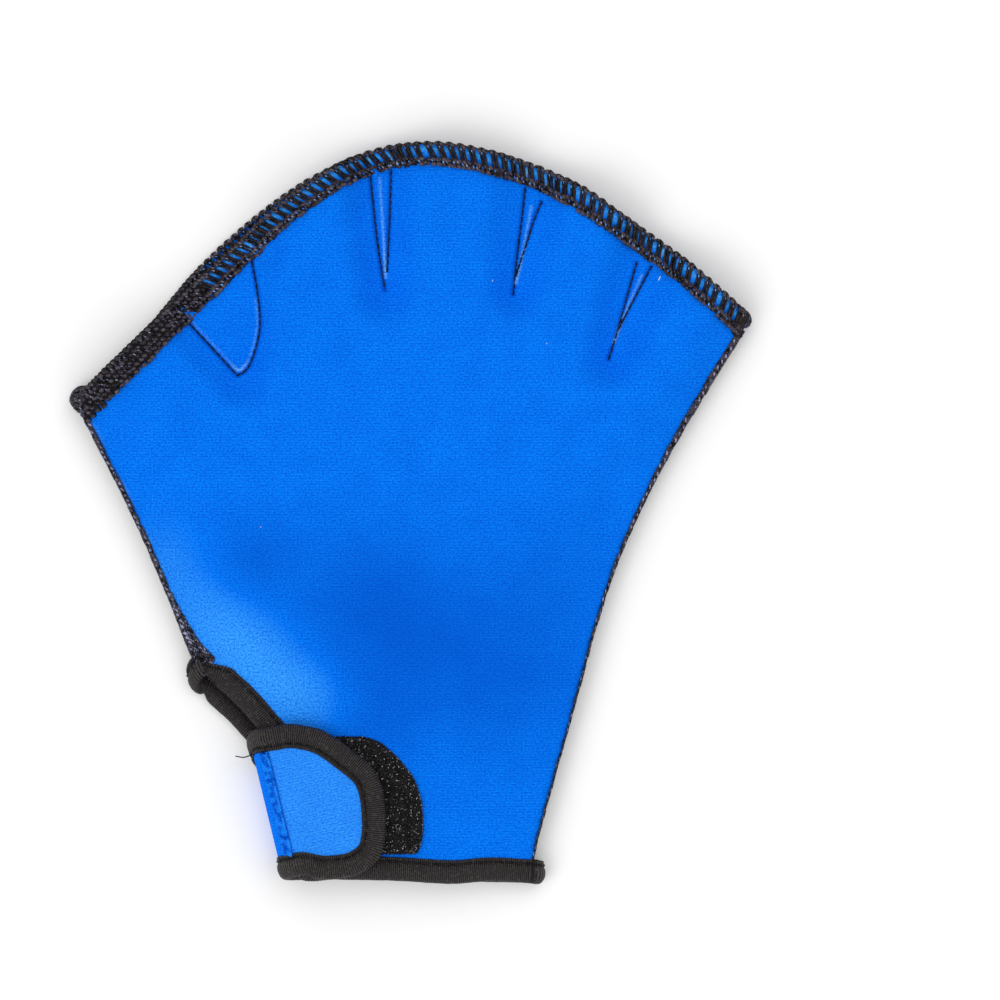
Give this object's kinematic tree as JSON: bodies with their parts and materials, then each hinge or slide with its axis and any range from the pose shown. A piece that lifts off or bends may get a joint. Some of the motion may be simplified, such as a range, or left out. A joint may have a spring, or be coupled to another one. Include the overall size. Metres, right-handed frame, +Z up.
{
  "type": "webbed swim glove",
  "caption": "Webbed neoprene swim glove with open finger and thumb mouths, overlocked edges, a tape-bound wrist and a folded wrist strap with hook and loop.",
  "frame": {"origin": "middle of the lying glove's footprint, on the surface that it rests on", "axes": "+X from the thumb's side to the little finger's side, +Y from the wrist to the fingertips, +Z up, out of the panel that faces up"},
  "size_m": [0.192, 0.2102, 0.0154],
  "materials": {
    "neoprene": "matte blue nylon jersey over foam",
    "overlock_thread": "black overlocked thread with a dull sheen",
    "binding_tape": "black ribbed knit tape",
    "seam_thread": "blue zigzag thread",
    "loop_pile": "black looped pile",
    "hook_tape": "black woven tape with fine plastic hooks"
  },
  "bodies": {
    "root": {"lower_panel": "neoprene", "upper_panel": "neoprene", "lower_finger_edge": "overlock_thread", "upper_finger_edge": "overlock_thread", "thumb_side_seam": "overlock_thread", "outer_side_seam": "overlock_thread", "wrist_binding": "binding_tape", "wrist_strap": "neoprene", "strap_seam": "seam_thread", "loop_patch": "loop_pile", "hook_patch": "hook_tape"}
  },
  "joints": []
}
